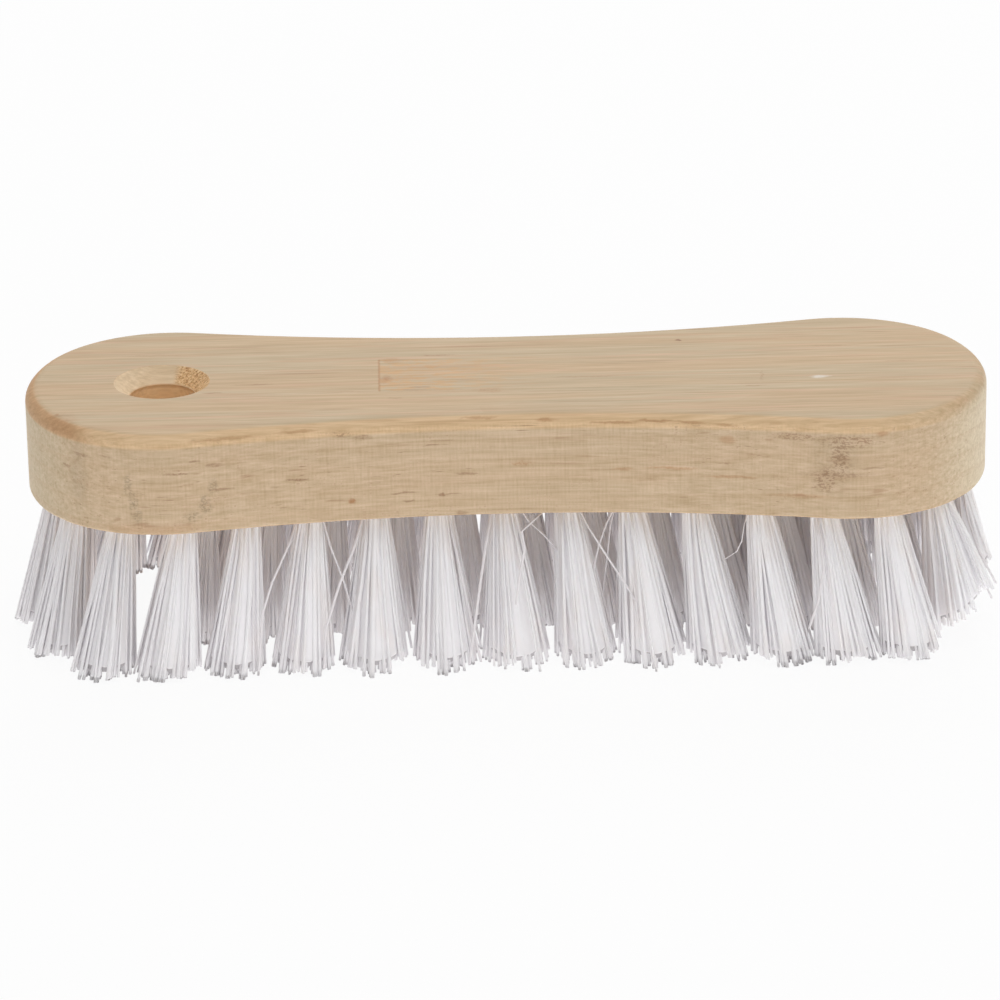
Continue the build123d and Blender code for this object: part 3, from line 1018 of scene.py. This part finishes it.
def joinPiece(strands, name):
    bpy.ops.object.select_all(action="DESELECT")
    for strand in strands:
        strand.select_set(True)
    bpy.context.view_layer.objects.active = strands[0]
    bpy.ops.object.join()
    piece = bpy.context.object
    piece.name = name
    return piece


tuftNames = sorted(name for name in nodes if name.startswith("tuft"))
for order, name in enumerate(tuftNames):
    draw = random.Random(tuftSet["seed"] + order)
    outer = "outer" in name
    tipRadius = tuftSet["tipRadius" if outer else "innerTipRadius"]
    strands = []
    for root, tip in tuftAxes(nodes[name], bundleSet):
        splay = findSplay(root, tip, tuftSet) if outer else Vector((0, 0, 0))
        strands += growTuft(root, tip, tipRadius, splay, tuftSet, draw)
    for stray in straySet:
        if stray["tuft"] == name:
            way = [Vector(p) * mm for p in stray["way"]]
            strands.append(bendStrand(way, stray["radius"] * mm, bristleSet["strayTone"]))
    tuft = joinPiece(strands, name + "_bristle")
    tuft.data.materials.clear()
    tuft.data.materials.append(bristleMaterial)
    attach(tuft, "root")
    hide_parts(name)
print("tufts grown:", len(tuftNames))

bpy.ops.object.select_all(action="DESELECT")
for shape in strandShapes + [heartShape]:
    shape.select_set(True)
bpy.ops.object.delete()


# floor, light and background
stageSet = {
    "floorSize": 6.0,
    "floor": (0.9, 0.9, 0.9, 1.0),
    "floorRoughness": 0.9,
    "floorWhite": 0.92,  # how much of the plain white the camera sees
    "world": 0.27,
    "tableSize": (0.6, 0.5),
    "tableHeight": 0.5 * mm,
    "tableGlow": 0.74,
    "aim": (0.0, 0.0, 0.03),
    "lamps": (
        {"name": "key", "place": (0.9, -0.7, 1.6), "size": (1.2, 1.2), "power": 5.2},
        {"name": "front", "place": (0.0, -1.6, 0.34), "size": (1.6, 0.6), "power": 2.0},
        {"name": "over", "place": (0.0, 0.0, 1.8), "size": (1.2, 1.2), "power": 12.0},
        {"name": "back", "place": (0.2, 1.4, 1.3), "size": (1.2, 1.2), "power": 11.0},
    ),
}


def layFloor(settings):
    bpy.ops.object.select_all(action="DESELECT")
    bpy.ops.mesh.primitive_plane_add(size=settings["floorSize"], location=(0, 0, 0))
    floor = bpy.context.object
    floor.name = "floor"
    material = bpy.data.materials.new("paleFloor")
    material.use_nodes = True
    tree = material.node_tree
    shader = tree.nodes["Principled BSDF"]
    shader.inputs["Base Color"].default_value = settings["floor"]
    shader.inputs["Roughness"].default_value = settings["floorRoughness"]
    shader.inputs["Specular IOR Level"].default_value = 0.1
    path = addNode(tree, "ShaderNodeLightPath", -300, 300)
    white = addNode(tree, "ShaderNodeEmission", 300, -200)
    seen = times(tree, 0, 300, path.outputs["Is Camera Ray"], settings["floorWhite"])
    mix = addNode(tree, "ShaderNodeMixShader", 1500, 0, {"Fac": seen})
    tree.links.new(shader.outputs[0], mix.inputs[1])
    tree.links.new(white.outputs[0], mix.inputs[2])
    tree.links.new(mix.outputs[0], tree.nodes["Material Output"].inputs["Surface"])
    floor.data.materials.append(material)


def lightWorld(settings):
    world = bpy.data.worlds.new("softWhite")
    bpy.context.scene.world = world
    world.use_nodes = True
    tree = world.node_tree
    tree.nodes.clear()
    out = addNode(tree, "ShaderNodeOutputWorld", 600, 0)
    path = addNode(tree, "ShaderNodeLightPath", -400, 200)
    seen = maths(tree, "MAXIMUM", 0, 200, path.outputs["Is Camera Ray"],
                 maths(tree, "MAXIMUM", -200, 100, path.outputs["Is Glossy Ray"],
                       path.outputs["Is Transmission Ray"]))
    light = addNode(tree, "ShaderNodeBackground", 0, -100, {"Strength": settings["world"]})
    white = addNode(tree, "ShaderNodeBackground", 0, -250, {"Color": (1, 1, 1, 1), "Strength": 1.0})
    light.inputs["Color"].default_value = (1, 1, 1, 1)
    mix = addNode(tree, "ShaderNodeMixShader", 300, 0, {"Fac": seen})
    tree.links.new(light.outputs[0], mix.inputs[1])
    tree.links.new(white.outputs[0], mix.inputs[2])
    tree.links.new(mix.outputs[0], out.inputs[0])


def hangLamps(settings):
    for lamp in settings["lamps"]:
        bpy.ops.object.light_add(type="AREA", location=lamp["place"])
        light = bpy.context.object
        light.name = lamp["name"]
        light.data.energy = lamp["power"]
        light.data.shape = "RECTANGLE"
        light.data.size, light.data.size_y = lamp["size"]
        look = Vector(settings["aim"]) - Vector(lamp["place"])
        light.rotation_euler = look.to_track_quat("-Z", "Y").to_euler()


def lightTable(settings):
    # soft light from the table top, as a white shooting table throws back
    width, depth = settings["tableSize"]
    place = (0, 0, settings["tableHeight"])
    bpy.ops.object.light_add(type="AREA", location=place, rotation=(math.pi, 0, 0))
    table = bpy.context.object
    table.name = "table"
    table.data.shape = "RECTANGLE"
    table.data.size = width
    table.data.size_y = depth
    table.data.energy = settings["tableGlow"] * math.pi * width * depth
    table.visible_camera = False


layFloor(stageSet)
lightWorld(stageSet)
hangLamps(stageSet)
lightTable(stageSet)
print("stage set")
